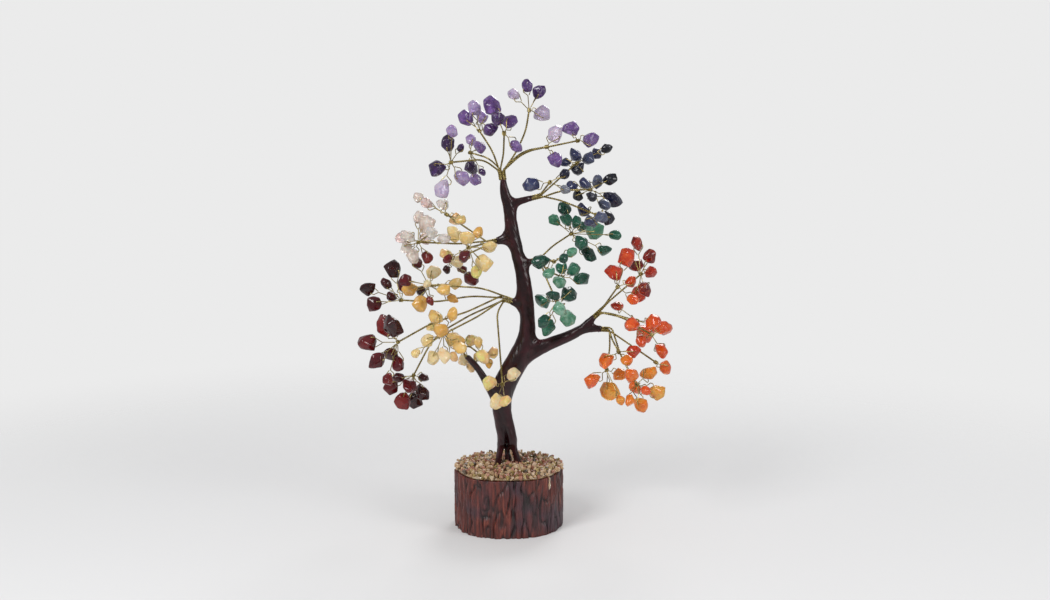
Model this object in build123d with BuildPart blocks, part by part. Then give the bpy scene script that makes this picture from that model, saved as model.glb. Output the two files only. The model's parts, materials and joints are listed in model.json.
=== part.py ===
from build123d import *
import math
import os
from itertools import combinations, permutations

import numpy as np

# A gemstone tree: a log slice with gravel set in resin, a lacquered trunk of wrapped wire with its limbs,
# and eight sprays of wire that carry drilled stone chips. X goes to the right, Y away from the viewer and
# Z up, from the middle of the face that the log slice stands on.

# Driving sizes, in millimetres
crown_width = 195.3
crown_depth = 112.0
trunk_width = 14.3
chip_length = 10.8

base_diameter = 70.0
base_height = 36.0
bark_furrow = 2.2
socket_diameter = 26.0
socket_depth = 15.0
root_depth = 11.0
bed_thickness = 1.4
bed_margin = 2.0
grain_pitch = 4.7
grain_height = 3.4

armature_diameter = 2.2
stem_diameter = 1.3
knot_diameter = 3.2
twig_diameter = 0.55
hole_diameter = 1.2
stem_lead = 5.0
twig_tail = 1.9
twig_bend = 0.8

fit_gap = 0.15
stone_gap = 0.3
clear_gap = 0.7
tip_gap = 0.4
depth_step = 1.5
ball_pitch = 1.4
bend_limit = 60.0

# How far a spray bends to either side at its limb tip, in degrees
spray_swing = 6.0
# How far a chip is rolled about its length, either way, in degrees
chip_roll = 55.0
# The least turn, in degrees, that a wire is bent for
least_turn = 3.0

# Counts, angles and shares of the sizes above
bark_ridges = 29
grain_corners = 6
chip_corners = 14
golden_turn = math.pi * (3 - math.sqrt(5))
bark_wander_share = 0.03
trunk_depth_share = 0.9
grain_width_share = 0.92
chip_width_share = 0.84
chip_thickness_share = 0.63
chip_vary_share = 0.08
chip_rough_share = 0.14
chip_taper_share = 0.3
chip_hole_share = 0.2
chip_spread_share = 0.8
twig_reach_share = 3.4
bend_share = 0.45
steep_share = 0.87
# Balls that a chip fits in: the place along it and the radius of each
chip_ball_shares = [(-0.27, 0.41), (0, 0.44), (0.27, 0.38)]

# Pixels of the front view: the ends of the crown, the trunk's axis and the top of the log slice
crown_left_px = 361
crown_right_px = 676
axis_px = 508.5
soil_py = 472
chip_length_px = 16
mm_per_px = crown_width / (crown_right_px - crown_left_px)

# Lines of the trunk, the limbs and the roots, from the foot to the tip, with their widths beside them
trunk_px = [
    (506.5, 448), (506.5, 438), (504, 425), (502, 411), (502, 398), (507, 380), (518, 360), (526, 340),
    (527.5, 319), (525.5, 299), (523.5, 280), (519, 260), (515.5, 245), (512, 231), (510.5, 217),
    (508, 203), (504.5, 190), (502.7, 178),
]
trunk_width_shares = [
    0.91, 0.86, 0.83, 0.84, 0.9, 1.0, 0.96, 0.78, 0.65, 0.68, 0.64, 0.55, 0.57, 0.59, 0.54, 0.5, 0.39, 0.3,
]
limb_px = {
    "left_limb": [(502, 404), (492, 393), (485, 381), (477, 369), (466, 357)],
    "right_limb": [(517, 364), (533, 352), (551, 344), (568, 337), (584, 328)],
    "upper_fork": [(577, 333), (586, 325), (594.5, 317)],
    "lower_fork": [(577, 332), (590, 329), (602.5, 329.5)],
    "top_right_limb": [(507, 208), (516, 203), (525, 200), (533, 198)],
    "left_stub": [(514, 237), (505, 239), (496, 241)],
    "middle_stub": [(527, 306), (519, 304), (511, 301)],
    "right_stub": [(518, 264), (525, 263), (532, 261)],
}
limb_width_shares = {
    "left_limb": [0.6, 0.46, 0.35, 0.3, 0.25],
    "right_limb": [0.74, 0.66, 0.56, 0.48, 0.42],
    "upper_fork": [0.34, 0.34, 0.27],
    "lower_fork": [0.34, 0.34, 0.28],
    "top_right_limb": [0.4, 0.34, 0.29, 0.25],
    "left_stub": [0.5, 0.42, 0.32],
    "middle_stub": [0.52, 0.4, 0.3],
    "right_stub": [0.46, 0.34, 0.26],
}
limb_parents = {
    "left_limb": ["trunk"],
    "right_limb": ["trunk"],
    "upper_fork": ["right_limb"],
    "lower_fork": ["right_limb", "upper_fork"],
    "top_right_limb": ["trunk"],
    "left_stub": ["trunk"],
    "middle_stub": ["trunk"],
    "right_stub": ["trunk"],
}
root_px = {
    "left_root": [(500.5, 448), (498.5, 460), (497.5, 472)],
    "middle_root": [(507, 448), (507.5, 460), (508, 472)],
    "right_root": [(513, 448), (516.5, 460), (519, 472)],
}
root_depth_shares = {"left_root": -0.1, "middle_root": 0.14, "right_root": -0.08}
root_width_shares = [0.32, 0.3, 0.29]


def hub(place_px, depth_share, way_px, **stones_px):
    """A twist at the end of a stem: its pixel, its depth, the pixels that its stem goes by and its stones.

    A stone is the pixel of its middle and its length in pixels.
    """
    return {"px": place_px, "depth_share": depth_share, "way": way_px, "stones": stones_px}


# The sprays, by the limb that carries each
sprays = {
    "top": ("trunk", [
        hub((453, 163), -0.25, [(484, 160)], amethyst=[
            (439, 169, 20), (446, 188, 19), (463, 178, 18), (450, 144, 16), (456, 133, 13), (462, 149, 9)]),
        hub((470, 154), 0.35, [(489, 159)], amethyst=[
            (471, 168, 17), (474, 180, 13), (470, 141, 13), (481, 148, 15), (481, 174, 9)]),
        hub((480, 132), -0.05, [(493, 152)], amethyst=[
            (476, 110, 16), (467, 120, 16), (482, 119, 15), (491, 131, 17)]),
        hub((505, 135), -0.4, [(504, 155)], amethyst=[
            (494, 110, 20), (499, 121, 16), (511, 123, 16), (516, 147, 14)]),
        hub((529, 112), 0.1, [(516, 154), (526, 132)], amethyst=[
            (514, 97, 13), (539, 94, 14), (542, 115, 20), (527, 88, 14)]),
        hub((546, 148), -0.3, [(522, 152)], amethyst=[(555, 135, 19), (554, 160, 17)]),
        hub((578, 142), 0.35, [(524, 153), (552, 147)], amethyst=[(571, 130, 18), (591, 141, 20)]),
    ]),
    "upper_right": ("top_right_limb", [
        hub((549, 182), -0.3, [], sodalite=[(531, 184, 18), (564, 174, 11), (564, 189, 10)]),
        hub((578, 164), 0.45, [(556, 182)], sodalite=[
            (575, 156, 16), (567, 164, 12), (588, 160, 15), (600, 155, 13), (607, 150, 12), (580, 171, 17)]),
        hub((590, 190), 0.05, [(561, 191)], sodalite=[
            (598, 182, 15), (609, 180, 14), (584, 184, 14), (572, 187, 13), (590, 196, 13), (578, 197, 13),
            (613, 201, 20), (603, 204, 14)]),
        hub((594, 213), -0.4, [(560, 200)], sodalite=[
            (583, 210, 16), (597, 214, 15), (606, 217, 15), (587, 220, 12), (594, 224, 12)]),
    ]),
    "middle_right": ("right_stub", [
        hub((572, 236), 0.35, [(553, 247)], aventurine=[
            (565, 211, 16), (555, 222, 13), (567, 222, 14), (578, 225, 14), (586, 232, 16), (597, 233, 20),
            (582, 244, 17), (590, 257, 17), (607, 255, 15), (617, 237, 13)]),
        hub((553, 258), -0.4, [], aventurine=[(562, 254, 11), (571, 250, 12), (539, 257, 18), (547, 264, 14)]),
        hub((562, 278), 0.1, [(547, 271)], aventurine=[
            (562, 271, 15), (573, 269, 16), (582, 281, 18), (559, 281, 16)]),
        hub((556, 298), -0.3, [(547, 279)], aventurine=[
            (552, 290, 14), (569, 295, 20), (558, 301, 17), (543, 303, 19), (566, 313, 18), (543, 317, 14),
            (547, 325, 18)]),
    ]),
    "outer_right": ("upper_fork", [
        hub((616, 284), -0.25, [(604, 305)], carnelian=[
            (624, 254, 20), (614, 272, 19), (630, 282, 14), (630, 295, 13)]),
        hub((643, 277), 0.3, [(610, 302)], carnelian=[
            (640, 246, 15), (651, 258, 16), (639, 269, 18), (651, 273, 15), (643, 287, 17), (641, 299, 18)]),
        hub((634, 316), -0.4, [(610, 312)], carnelian=[
            (627, 317, 18), (648, 314, 17), (661, 325, 20), (637, 334, 13), (619, 309, 14)]),
        hub((654, 338), 0.2, [(622, 318)], carnelian=[(650, 340, 24), (661, 350, 17), (670, 333, 15)]),
    ]),
    "lower_right": ("lower_fork", [
        hub((617, 348), -0.3, [(611, 337)], carnelian=[
            (633, 349, 15), (624, 354, 13), (606, 359, 18)]),
        hub((609, 376), 0.3, [(611, 350)], carnelian=[
            (594, 384, 18), (612, 399, 22), (622, 404, 11), (622, 378, 16)]),
        hub((634, 378), -0.45, [(620, 354)], carnelian=[
            (634, 385, 16), (641, 381, 12), (648, 373, 19), (655, 388, 19), (626, 391, 12), (639, 400, 16),
            (627, 366, 17)]),
        hub((657, 364), 0.05, [(632, 347)], carnelian=[(668, 372, 16)]),
    ]),
    "upper_left": ("left_stub", [
        hub((446, 216), 0.25, [(472, 232)], quartz=[(441, 207, 15), (426, 204, 13), (417, 199, 11)],
            citrine=[(455, 222, 16), (462, 220, 12)]),
        hub((421, 240), -0.3, [(460, 243)], quartz=[
            (421, 217, 14), (430, 222, 20), (413, 233, 16), (427, 238, 14), (437, 228, 14), (408, 246, 14),
            (404, 236, 12), (417, 252, 16), (446, 236, 13)],
            garnet=[(430, 255, 13)]),
        hub((471, 244), -0.5, [], citrine=[
            (470, 233, 17), (480, 230, 12), (455, 232, 18), (490, 244, 14), (485, 258, 18), (478, 268, 13)],
            garnet=[(468, 250, 15), (451, 254, 10)]),
        hub((449, 263), 0.35, [(474, 252)], citrine=[(443, 258, 16), (457, 262, 17)],
            garnet=[(446, 271, 10), (460, 273, 12), (470, 281, 17)]),
    ]),
    "middle_left": ("middle_stub", [
        hub((430, 283), -0.2, [(482, 287)], citrine=[
            (434, 271, 16), (430, 280, 10), (446, 286, 15), (455, 284, 14), (412, 287, 16), (423, 300, 18),
            (454, 296, 11)],
            garnet=[(417, 262, 14), (408, 277, 13), (421, 291, 13), (433, 295, 10)]),
        hub((399, 303), 0.25, [(470, 297), (436, 304)], garnet=[
            (390, 272, 20), (384, 286, 12), (367, 289, 16), (400, 289, 20), (391, 297, 13), (371, 307, 17)]),
        hub((399, 340), -0.2, [(468, 311), (432, 322)], garnet=[
            (386, 326, 24), (396, 322, 24), (368, 340, 20), (379, 357, 18), (391, 353, 15), (400, 361, 16),
            (393, 370, 13)]),
        hub((411, 380), 0.2, [(470, 316), (433, 338)], garnet=[
            (387, 393, 18), (396, 381, 12), (409, 387, 18), (420, 385, 12), (420, 397, 17), (400, 405, 18),
            (410, 409, 20)]),
        hub((446, 328), -0.5, [(478, 314)], citrine=[
            (456, 306, 14), (437, 313, 16), (445, 321, 18), (432, 327, 14), (455, 336, 20), (463, 339, 15),
            (430, 335, 14), (436, 352, 15), (448, 346, 15), (455, 351, 11), (420, 345, 10)]),
        hub((503, 378), -0.45, [(497, 312), (500, 342)], citrine=[
            (491, 374, 16), (513, 371, 16), (497, 391, 17), (506, 385, 14)]),
    ]),
    "lower_left": ("left_limb", [
        hub((462, 346), 0.2, [], citrine=[(470, 346, 16), (462, 363, 12), (469, 374, 11)]),
        hub((484, 354), -0.25, [(468, 344)], citrine=[
            (484, 350, 18), (494, 352, 13), (477, 360, 12), (489, 364, 11), (479, 339, 11)]),
    ]),
}
root_body = len(sprays)


def place(px, py, depth=0):
    """The point behind a pixel of the front view, at a depth behind the trunk's line."""
    return Vector((px - axis_px) * mm_per_px, depth, base_height + (soil_py - py) * mm_per_px)


def bends_of(points):
    """The ends of a line and the points between them where it turns."""
    inner = zip(points, points[1:], points[2:])
    bends = [b for a, b, c in inner if (b - a).get_angle(c - b) > least_turn]
    return [points[0]] + bends + [points[-1]]


def bend_radii(points):
    """The radius at each corner of a wire, as large as its two runs leave room for, up to a limit."""
    radii = []
    for a, b, c in zip(points, points[1:], points[2:]):
        turn = math.radians((b - a).get_angle(c - b))
        run = min((b - a).length, (c - b).length)
        radii.append(min(bend_share * run / math.tan(turn / 2), bend_limit))
    return radii


def wire_along(points, diameter, bend=None):
    """A round wire along straight runs and tangent arcs, as wide as they can be or of one bend."""
    route = bends_of(points)
    with BuildPart() as wire:
        with BuildLine() as path:
            if len(route) > 2:
                FilletPolyline(route, radius=bend or bend_radii(route))
            else:
                Line(*route)
        with BuildSketch(Plane(path.line @ 0, z_dir=path.line % 0)):
            Circle(diameter / 2)
        sweep()
    return wire.part


def square_to(along):
    """The direction square to a line that is nearest to the front, or to the top for a line that runs to depth."""
    front = Vector(0, -1, 0)
    toward = Vector(0, 0, 1) if abs(along.dot(front)) > steep_share else front
    return (toward - along * along.dot(toward)).normalized()


def wrapped_limb(points, widths):
    """A limb lofted through oval sections square to its line."""
    with BuildPart() as limb:
        for k, point in enumerate(points):
            heading = points[min(k + 1, len(points) - 1)] - points[max(k - 1, 0)]
            with BuildSketch(Plane(point, x_dir=(0, 1, 0), z_dir=heading)):
                Ellipse(trunk_depth_share * widths[k] / 2, widths[k] / 2)
        loft()
    return limb.part


def cut_away(body, tools):
    """A solid less the tools that go through it."""
    with BuildPart() as rest:
        add(body)
        for tool in tools:
            add(tool, mode=Mode.SUBTRACT)
    return rest.part


def keep(node, *pieces):
    """Writes the solids of one node."""
    group = Compound(label=node, children=[piece.solid() for piece in pieces])
    export_step(group, f"parts/{node}.step")


os.makedirs("parts", exist_ok=True)


# The log slice, sawn flat above and below, with furrowed bark and a blind socket for the roots
def bark_outline(inset, furrow):
    """Corners of the slice's outline, a ridge and a furrow in turn, none of them alike."""
    corners = []
    for k in range(2 * bark_ridges):
        turn = math.pi * k / bark_ridges
        wander = bark_wander_share * (math.sin(2 * turn + 1) + math.sin(5 * turn) - 2) / 2
        depth = furrow * (k % 2) * (2 + math.sin(k * golden_turn)) / 3
        radius = (1 + wander) * base_diameter / 2 - inset - depth
        corners.append((radius * math.cos(turn), radius * math.sin(turn)))
    return corners


with BuildPart() as wood_base:
    with BuildSketch():
        with BuildLine():
            Polyline(bark_outline(0, bark_furrow), close=True)
        make_face()
    extrude(amount=base_height)
    with Locations((0, 0, base_height)):
        Hole(socket_diameter / 2, depth=socket_depth)
keep("wood_base", wood_base.part)


# The three root strands, from the foot of the trunk down into the resin in the socket
def root_strand(name, growth):
    """One strand as a loft through level circles, grown on all sides for the hole that it stands in."""
    depth = root_depth_shares[name] * trunk_width
    points = [place(px, py, depth) for px, py in root_px[name]]
    foot = points[-1] - Vector(0, 0, root_depth + growth)
    widths = [share * trunk_width + 2 * growth for share in root_width_shares]
    with BuildPart() as strand:
        for point, width in zip(points + [foot], widths + [widths[-1]]):
            with BuildSketch(Plane(point)):
                Circle(width / 2)
        loft(ruled=True)
    return strand.part


for name in root_px:
    keep(name, root_strand(name, 0))


# The resin, poured into the socket round the roots and over the top of the slice
bed_top = base_height + bed_thickness
with BuildPart() as resin_bed:
    with BuildSketch(Plane.XY.offset(base_height)):
        with BuildLine():
            Polyline(bark_outline(bed_margin + bark_furrow, 0), close=True)
        make_face()
    extrude(amount=bed_thickness)
    with BuildSketch(Plane.XY.offset(base_height - socket_depth + fit_gap)):
        Circle(socket_diameter / 2 - fit_gap)
    extrude(amount=socket_depth)
    for name in root_px:
        add(root_strand(name, fit_gap), mode=Mode.SUBTRACT)
keep("resin_bed", resin_bed.part)


# The crushed gravel, flat-bottomed grains set on the resin in a sunflower pattern
def gravel_grain(serial, spot):
    """One faceted grain standing on the resin."""
    corners = []
    for k in range(grain_corners):
        turn = 2 * math.pi * k / grain_corners + serial
        foot = grain_width_share * grain_pitch / 2 * (5 + math.sin(7 * serial + 2 * k)) / 6
        crest = foot * (3 + math.sin(3 * serial + 5 * k)) / 6
        height = grain_height * (4 + math.sin(5 * serial + 4 * k)) / 5
        corners.append((foot * math.cos(turn), foot * math.sin(turn), 0))
        corners.append((crest * math.cos(turn), crest * math.sin(turn), height))
    with BuildPart(Plane(spot)) as grain:
        ConvexPolyhedron(corners)
    return grain.part


gravel_colours = ["cream", "terracotta", "cream", "olive", "dark", "cream", "olive", "terracotta"]
gravel = {colour: [] for colour in gravel_colours}
gravel_radius = (1 - bark_wander_share) * base_diameter / 2 - bark_furrow - bed_margin - grain_pitch / 2
grain_count = round(math.pi * (gravel_radius / grain_pitch) ** 2)
root_feet = [place(*line[-1], root_depth_shares[name] * trunk_width) for name, line in root_px.items()]
root_room = (grain_pitch + root_width_shares[-1] * trunk_width) / 2 + stone_gap
for serial in range(grain_count):
    reach = gravel_radius * math.sqrt((serial + 1 / 2) / grain_count)
    turn = serial * golden_turn
    spot = Vector(reach * math.cos(turn), reach * math.sin(turn), bed_top)
    if min(math.hypot(spot.X - foot.X, spot.Y - foot.Y) for foot in root_feet) > root_room:
        colour = gravel_colours[serial % len(gravel_colours)]
        gravel[colour].append(gravel_grain(serial, spot))
for colour, grains in gravel.items():
    keep(f"gravel_{colour}", *grains)


# The trunk and the limbs, wrapped round their armature wires and lacquered
lines = {"trunk": [place(*px) for px in trunk_px]}
widths = {"trunk": [share * trunk_width for share in trunk_width_shares]}
for name in limb_px:
    lines[name] = [place(*px) for px in limb_px[name]]
    widths[name] = [share * trunk_width for share in limb_width_shares[name]]

grown = {}
armature = []
for name, line in lines.items():
    parents = [grown[parent] for parent in limb_parents.get(name, [])]
    grown[name] = wrapped_limb(line, [width + 2 * fit_gap for width in widths[name]])
    bore = wire_along(line, armature_diameter + 2 * fit_gap)
    keep(name, cut_away(wrapped_limb(line, widths[name]), parents + [bore]))
    armature.append(cut_away(wire_along(line, armature_diameter), parents))
keep("armature", *armature)

# What stands in the crown, as balls: place, radius and the spray that it moves with
crowd = np.empty((0, 5))
pivots = []


def balls_along(start, end, radius, spray):
    """A row of balls for a straight piece of wire or limb."""
    count = math.ceil((end - start).length / ball_pitch) + 1
    return [(*(start + (end - start) * (k / count)), radius, spray) for k in range(count + 1)]


def least_gap(balls, others):
    """The least room between these balls and the others, with every spray bent as far as it goes."""
    mine = np.array(balls)[:, None, :]
    theirs = others[None, :, :]
    apart = mine[..., :3] - theirs[..., :3]
    reach = np.zeros(apart.shape[:2])
    for side in (mine, theirs):
        pivot = pivot_table[side[..., 4].astype(int)]
        from_pivot = np.hypot(side[..., 0] - pivot[..., 0], side[..., 2] - pivot[..., 2])
        reach = np.maximum(reach, np.where(side[..., 4] == root_body, 0, from_pivot))
    between = pivot_table[mine[..., 4].astype(int)] - pivot_table[theirs[..., 4].astype(int)]
    both_bend = (mine[..., 4] != root_body) & (theirs[..., 4] != root_body)
    reach = np.maximum(reach, np.where(both_bend, np.hypot(between[..., 0], between[..., 2]), 0))
    sway = np.where(mine[..., 4] == theirs[..., 4], 0, reach * math.sin(math.radians(spray_swing)))
    level = np.maximum(np.hypot(apart[..., 0], apart[..., 2]) - sway, 0)
    return (np.hypot(level, apart[..., 1]) - mine[..., 3] - theirs[..., 3]).min()


for name, line in lines.items():
    for k in range(len(line) - 1):
        balls = balls_along(line[k], line[k + 1], widths[name][k] / 2, root_body)
        crowd = np.vstack([crowd, balls])


# The stems: wires that leave a limb tip side by side and fan out, each to a twist that holds its twigs
def stem_starts(tip, heading, count):
    """Places side by side round a limb tip, one for each stem."""
    ring = (stem_diameter + stone_gap) / 2 / math.sin(math.pi / max(count, 2))
    across = Plane(tip + heading * tip_gap, x_dir=(0, 1, 0), z_dir=heading)
    return [(across * spot).position for spot in PolarLocations(ring, count)]


def stem_route(start, tip, heading, bunch):
    """Points of one stem: off the tip, bent inside or outside its neighbours, then by its way to its twist."""
    depth = bunch["depth_share"] * crown_depth / 2
    level = [place(*px) for px in bunch["way"] + [bunch["px"]]]
    leaving = Vector(level[0].X, depth, level[0].Z) - tip - heading * stem_lead
    turn = math.radians(heading.get_angle(leaving))
    aside = (leaving - heading * heading.dot(leaving)).normalized()
    lead = start + heading * (stem_lead - aside.dot(start - tip) * math.tan(turn / 2))
    runs = [(b - a).length for a, b in zip([lead] + level, level)]
    points = [start, lead]
    for k, point in enumerate(level):
        share = sum(runs[: k + 1]) / sum(runs)
        points.append(Vector(point.X, lead.Y + (depth - lead.Y) * share, point.Z))
    return points


def stem_with_twist(points):
    """A stem and the twist at its end, one piece of wire, the ball's seam on its far side."""
    ahead = (points[-1] - points[-2]).normalized()
    with BuildPart() as stem:
        add(wire_along(points, stem_diameter))
        with Locations(Plane(points[-1], x_dir=ahead, z_dir=square_to(ahead))):
            Sphere(knot_diameter / 2)
    return stem.part


def stem_gap(route, other):
    """The least room between two stems."""
    rows = []
    for points in (route, other):
        runs = [balls_along(a, b, stem_diameter / 2, root_body) for a, b in zip(points, points[1:])]
        rows.append(np.vstack(runs)[:, :3])
    return np.linalg.norm(rows[0][:, None] - rows[1][None], axis=2).min() - stem_diameter


def stem_routes(tip, heading, hubs):
    """Routes of the stems of a limb, in the order round its tip that keeps them furthest apart."""
    starts = stem_starts(tip, heading, len(hubs))
    ways = [[stem_route(start, tip, heading, bunch) for start in starts] for bunch in hubs]
    pairs = list(combinations(range(len(hubs)), 2))
    gaps = {}
    for i, j in pairs:
        for a, b in permutations(range(len(hubs)), 2):
            gaps[i, a, j, b] = stem_gap(ways[i][a], ways[j][b])
    orders = permutations(range(len(hubs)))
    order = max(orders, key=lambda turns: min(gaps[i, turns[i], j, turns[j]] for i, j in pairs))
    return [ways[k][turn] for k, turn in enumerate(order)]


routes = {}
for spray, (name, (limb, hubs)) in enumerate(sprays.items()):
    tip = lines[limb][-1]
    heading = (tip - lines[limb][-2]).normalized()
    pivots.append(tip)
    routes[name] = stem_routes(tip, heading, hubs)
    for route in routes[name]:
        for a, b in zip(route, route[1:]):
            crowd = np.vstack([crowd, balls_along(a, b, stem_diameter / 2, spray)])
    keep(f"{name}_stems", *[stem_with_twist(route) for route in routes[name]])
pivot_table = np.array([tuple(pivot) for pivot in pivots + [Vector()]])


# The stones: drilled and tumbled chips, each on a twig of thin wire
def chip_plane(twist, middle, length, serial):
    """Where a chip is drilled, with X out from its twist and Z along the hole, broad side to the front."""
    along = (middle - twist).normalized()
    facing = square_to(along).rotate(Axis((0, 0, 0), along), chip_roll * math.sin(serial * golden_turn))
    return Plane(middle - along * (chip_hole_share * length), x_dir=along, z_dir=facing)


def chip_points(length, serial):
    """The corners of a chip, narrower to one end, as seen from the middle of its hole."""
    corners = []
    taper = chip_taper_share * math.sin(serial)
    flatness = chip_vary_share * math.cos(serial * golden_turn)
    width = length * chip_width_share * (1 + flatness)
    thickness = length * chip_thickness_share * (1 - flatness)
    for k in range(chip_corners):
        rise = 1 - (2 * k + 1) / chip_corners
        turn = k * golden_turn + serial
        swell = 1 + chip_rough_share * math.sin(3 * turn + serial)
        ring = math.sqrt(1 - rise**2) * swell * (1 + taper * rise)
        corners.append((
            length * (rise * swell / 2 + chip_hole_share),
            width * ring * math.cos(turn) / 2,
            thickness * ring * math.sin(turn) / 2,
        ))
    return corners


def stone_chip(plane, corners, length):
    """A chip with flat facets and its drilled hole."""
    with BuildPart(plane) as chip:
        ConvexPolyhedron(corners)
        Cylinder(hole_diameter / 2, length, mode=Mode.SUBTRACT)
    return chip.part


def looped_twig(plane, corners, length, reach):
    """A twig from its twist to a chip, through the hole from front to back and home along itself."""
    edge = length * ((1 + chip_rough_share) / 2 - chip_hole_share)
    front = max(corner[2] for corner in corners) + twig_diameter / 2 + stone_gap
    back = min(corner[2] for corner in corners) - twig_diameter / 2 - stone_gap
    local = [
        (-reach, 0, 0),
        (-edge - twig_tail, 0, 0),
        (-edge / 2, 0, front),
        (0, 0, front),
        (0, 0, back),
        (-edge / 2, 0, back),
        (-edge - twig_tail, 0, -twig_diameter - stone_gap),
    ]
    points = [plane.from_local_coords(point) for point in local]
    return wire_along(points, twig_diameter, twig_bend)


def chip_balls(twist, middle, length, spray):
    """The balls that stand for a chip and its twig."""
    along = (middle - twist).normalized()
    balls = [
        (*(middle + along * (shift * length)), radius * length, spray) for shift, radius in chip_ball_shares
    ]
    inner = middle - along * (length / 2)
    return balls + balls_along(twist + along * knot_diameter, inner, twig_diameter, spray)


def settle(twist, flat, length, serial, spray):
    """The middle of a chip, at the depth nearest to its own wish that leaves it clear of the crowd."""
    nearest = length * ((1 + chip_rough_share) / 2) + 2 * twig_tail + knot_diameter / 2
    furthest = max(twig_reach_share * chip_length, (flat - twist).length + depth_step)
    wish = chip_spread_share * chip_length * math.sin(serial * golden_turn)
    window = (flat - twist).length + 2 * chip_length + crown_width * math.sin(math.radians(spray_swing))
    near = crowd[np.hypot(crowd[:, 0] - flat.X, crowd[:, 2] - flat.Z) < window]
    best = None
    steps = math.ceil(furthest / depth_step)
    for step in sorted(range(-steps, steps + 1), key=lambda n: abs(n * depth_step - wish)):
        middle = Vector(flat.X, twist.Y + step * depth_step, flat.Z)
        if not nearest <= (middle - twist).length <= furthest or abs(middle.Y) > crown_depth / 2:
            continue
        gap = least_gap(chip_balls(twist, middle, length, spray), near)
        if best is None or gap > best[0]:
            best = (gap, middle)
        if gap >= clear_gap:
            break
    return best


serial = 0
tight = []
for spray, (name, (limb, hubs)) in enumerate(sprays.items()):
    twigs = []
    chips = {}
    for bunch, route in zip(hubs, routes[name]):
        twist = route[-1]
        for stone, places_px in bunch["stones"].items():
            for px, py, length_px in places_px:
                serial += 1
                length = chip_length * length_px / chip_length_px
                gap, middle = settle(twist, place(px, py, twist.Y), length, serial, spray)
                if gap < clear_gap:
                    tight.append((name, px, py, round(gap, 2)))
                crowd = np.vstack([crowd, chip_balls(twist, middle, length, spray)])
                plane = chip_plane(twist, middle, length, serial)
                reach = (plane.origin - twist).length - knot_diameter / 2 - fit_gap
                corners = chip_points(length, serial)
                chips.setdefault(stone, []).append(stone_chip(plane, corners, length))
                twigs.append(looped_twig(plane, corners, length, reach))
    keep(f"{name}_twigs", *twigs)
    for stone, pieces in chips.items():
        keep(f"{name}_{stone}_chips", *pieces)
print(serial, "stones; closer than the clear gap:", tight)
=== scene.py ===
import json
import math

import bmesh
import bpy
import numpy as np
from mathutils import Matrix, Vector, noise

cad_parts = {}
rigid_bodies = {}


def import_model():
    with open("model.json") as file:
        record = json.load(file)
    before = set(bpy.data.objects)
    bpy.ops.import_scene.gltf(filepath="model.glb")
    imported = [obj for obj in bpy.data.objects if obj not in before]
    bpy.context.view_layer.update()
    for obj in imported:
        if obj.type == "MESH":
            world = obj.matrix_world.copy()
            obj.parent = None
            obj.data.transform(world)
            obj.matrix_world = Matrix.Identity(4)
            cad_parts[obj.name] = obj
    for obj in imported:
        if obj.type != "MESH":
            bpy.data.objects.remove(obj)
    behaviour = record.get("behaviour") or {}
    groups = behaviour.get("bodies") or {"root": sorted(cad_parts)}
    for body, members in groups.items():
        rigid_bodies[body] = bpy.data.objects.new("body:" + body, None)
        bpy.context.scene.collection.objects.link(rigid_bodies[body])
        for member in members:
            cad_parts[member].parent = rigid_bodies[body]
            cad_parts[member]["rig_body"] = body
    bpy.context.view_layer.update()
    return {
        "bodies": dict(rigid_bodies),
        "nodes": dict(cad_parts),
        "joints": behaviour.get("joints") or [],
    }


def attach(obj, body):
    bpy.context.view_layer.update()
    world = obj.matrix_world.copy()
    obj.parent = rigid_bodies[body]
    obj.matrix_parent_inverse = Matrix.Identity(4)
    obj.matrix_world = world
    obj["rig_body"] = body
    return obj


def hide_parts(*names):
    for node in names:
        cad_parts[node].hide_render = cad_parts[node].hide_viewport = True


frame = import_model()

MM = 0.001

# The log slice: a short length of a small log, sawn square at both ends, with its bark left on.
# The bark stands in upright plates with dark furrows between them, and the slice carries the whole tree.
slice_radius = 35 * MM
slice_height = 36 * MM
slice_wander = 0.03
furrow_depth = 2.2 * MM
plate_width = 4.5 * MM
plate_length = 26 * MM
plate_stray = 0.35
crack_edge = 3.4
crack_share = 0.66
splits_per_plate = 2.7
split_start = Vector((7, 3, 1))
split_edge = 2.4
split_share = 0.28
lump_share = 0.22
chip_of_rim = 0.7 * MM
bark_columns = 560
bark_rows = 80
streak_width = 1.6 * MM
streak_relief = 0.4 * MM
patch_width = 22 * MM
bark_seed = 5


def linear(hex_colour):
    """An sRGB hex value as a linear colour."""
    parts = [int(hex_colour[k:k + 2], 16) / 255 for k in (1, 3, 5)]
    return [c / 12.92 if c <= 0.04045 else ((c + 0.055) / 1.055) ** 2.4 for c in parts] + [1]


def add(tree, kind, inputs=None, stops=None, **settings):
    """A node with its settings, its colour stops, and its inputs set or linked."""
    made = tree.nodes.new(kind)
    for name, value in settings.items():
        setattr(made, name, value)
    for socket, value in (inputs or {}).items():
        if isinstance(value, bpy.types.NodeSocket):
            tree.links.new(value, made.inputs[socket])
        else:
            made.inputs[socket].default_value = value
    if stops:
        ramp = made.color_ramp.elements
        while len(ramp) < len(stops):
            ramp.new(1)
        for element, (place, hex_colour) in zip(ramp, stops):
            element.position = place
            element.color = linear(hex_colour)
    return made


def new_finish(name, shader_inputs=None):
    """A material with one shader, some of whose sockets are set, its tree and that shader."""
    made = bpy.data.materials.new(name)
    made.use_nodes = True
    shader = made.node_tree.nodes["Principled BSDF"]
    for socket, value in (shader_inputs or {}).items():
        shader.inputs[socket].default_value = value
    return made, made.node_tree, shader


def smooth_mesh(name, points, faces, finish):
    """A smooth mesh of points and faces in one finish."""
    mesh = bpy.data.meshes.new(name)
    mesh.from_pydata([tuple(point) for point in points], [], [tuple(face) for face in faces])
    mesh.validate()
    mesh.materials.append(finish)
    mesh.shade_smooth()
    return mesh


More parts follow.
